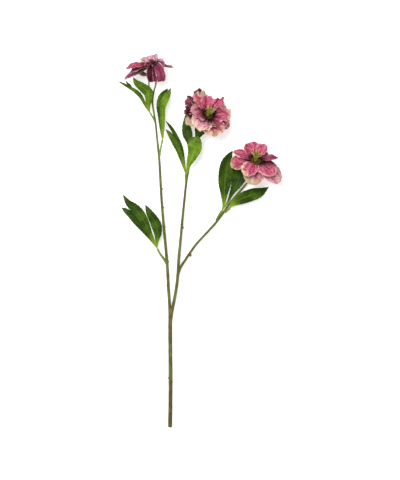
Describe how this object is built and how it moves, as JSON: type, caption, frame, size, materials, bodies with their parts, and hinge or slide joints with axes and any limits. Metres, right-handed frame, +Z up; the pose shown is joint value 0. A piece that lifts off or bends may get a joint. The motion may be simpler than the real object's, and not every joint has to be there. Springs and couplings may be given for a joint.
{
  "type": "hellebore flower",
  "caption": "Cut hellebore spray lying flat: a forked stem with ruffled double blooms, a small closed bud and divided leaves with toothed edges.",
  "frame": {"origin": "middle of the spray's footprint, on the surface that it lies on", "axes": "+Y along the stem from its cut end to the blooms, +Z up from the surface, +X to the right with the blooms at the top"},
  "size_m": [0.2452, 0.5581, 0.0555],
  "materials": {
    "stem": "fine lengthwise ridges, olive green turning grey-green towards the blooms",
    "leaf_dark": "leathery satin, dark green upper side with pale veins",
    "leaf_light": "satin, light green underside with raised veins",
    "petal": "soft matt, dusky pink with darker veins, maroon folds and cream edges",
    "stamen": "matt yellow-green",
    "bud": "satin, olive green flushed with pink"
  },
  "bodies": {
    "root": {"stem": "stem", "leaf_lower": "leaf_dark", "leaf_top_left": "leaf_light", "leaf_top_right": "leaf_light", "leaf_middle": "leaf_light", "leaf_right_upper": "leaf_dark", "leaf_right_lower": "leaf_dark", "bloom_left_petals": "petal", "bloom_left_stamens": "stamen", "bloom_middle_petals": "petal", "bloom_middle_stamens": "stamen", "bloom_right_petals": "petal", "bloom_right_stamens": "stamen", "bud": "bud"}
  },
  "joints": []
}
